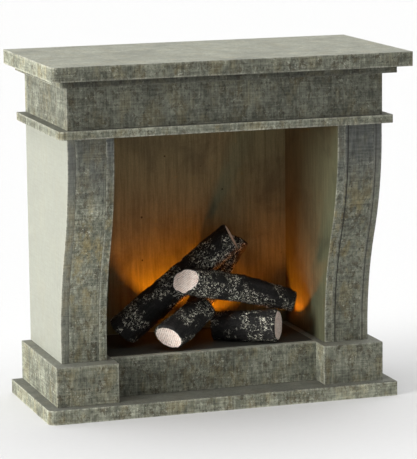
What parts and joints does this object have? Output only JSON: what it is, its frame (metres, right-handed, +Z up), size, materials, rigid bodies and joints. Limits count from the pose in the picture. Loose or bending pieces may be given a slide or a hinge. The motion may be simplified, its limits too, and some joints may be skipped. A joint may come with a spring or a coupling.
{
  "type": "miniature fireplace mantel",
  "caption": "Dolls' house fireplace: painted board mantel with S-curved legs, hearth and a heap of resin logs lit from below by cells behind a screwed cover at the back.",
  "frame": {"origin": "middle of the outline on the surface that the base slab stands on", "axes": "+X to the right as seen from the front, +Y from front to back, +Z up"},
  "size_m": [0.18, 0.093, 0.174],
  "materials": {
    "stone_paint": "fibreboard sponge-painted in matt stone grey with brown and pale mottling",
    "firebox_paint": "fibreboard brushed with matt dark grey-green paint, vertical strokes",
    "charred_resin": "cast resin bark, black satin gloss with cream flecks and pinkish cut ends",
    "amber_lens": "clear amber lamp lens",
    "green_laminate": "glass-fibre laminate with green solder mask",
    "beige_enamel": "enamelled body",
    "white_nylon": "natural nylon",
    "zinc_steel": "bright zinc plate",
    "nickel": "nickel-plated spring steel",
    "black_plastic": "fine-textured moulding",
    "cell_wrap": "plain printed shrink sleeve",
    "red_pvc": "wire insulation",
    "orange_pvc": "wire insulation",
    "black_pvc": "wire insulation"
  },
  "bodies": {
    "mantel": {"base_slab": "stone_paint", "left_plinth": "stone_paint", "right_plinth": "stone_paint", "hearth_riser": "stone_paint", "hearth_top": "stone_paint", "back_skirt": "stone_paint", "left_outer_panel": "stone_paint", "left_inner_panel": "firebox_paint", "left_leg_front": "stone_paint", "right_outer_panel": "stone_paint", "right_inner_panel": "firebox_paint", "right_leg_front": "stone_paint", "back_panel": "firebox_paint", "lower_moulding": "stone_paint", "frieze_front": "stone_paint", "frieze_left_end": "stone_paint", "frieze_right_end": "stone_paint", "frieze_back": "stone_paint", "upper_moulding": "stone_paint", "mantel_shelf": "stone_paint", "log_leaning": "charred_resin", "log_rear": "charred_resin", "log_middle": "charred_resin", "log_front_left": "charred_resin", "log_front_right": "charred_resin", "lamp_left": "amber_lens", "lamp_middle": "amber_lens", "lamp_right": "amber_lens", "lamp_strip": "green_laminate", "lamp_resistor": "beige_enamel", "strip_spacers": "white_nylon", "strip_screws": "zinc_steel", "cell_box": "black_plastic", "cell_left": "cell_wrap", "cell_right": "cell_wrap", "box_spring": "nickel", "box_plate": "nickel", "switch_body": "nickel", "switch_screws": "zinc_steel", "supply_wire": "red_pvc", "switch_wire": "orange_pvc", "return_wire": "black_pvc"},
    "cover": {"cell_cover": "black_plastic", "cover_contact": "nickel"},
    "screw": {"cover_screw": "zinc_steel"},
    "slider": {"switch_slider": "black_plastic"}
  },
  "joints": [
    {"name": "cover_lift", "type": "slide", "parent": "mantel", "child": "cover", "axis": [0, 1, 0], "range_m": [0, 0.016]},
    {"name": "screw_turn", "type": "hinge", "parent": "cover", "child": "screw", "pos_m": [-0.0213, 0.0465, 0.0138], "axis": [0, 1, 0], "continuous": true},
    {"name": "switch_slide", "type": "slide", "parent": "mantel", "child": "slider", "axis": [1, 0, 0], "range_m": [0, 0.002]}
  ]
}
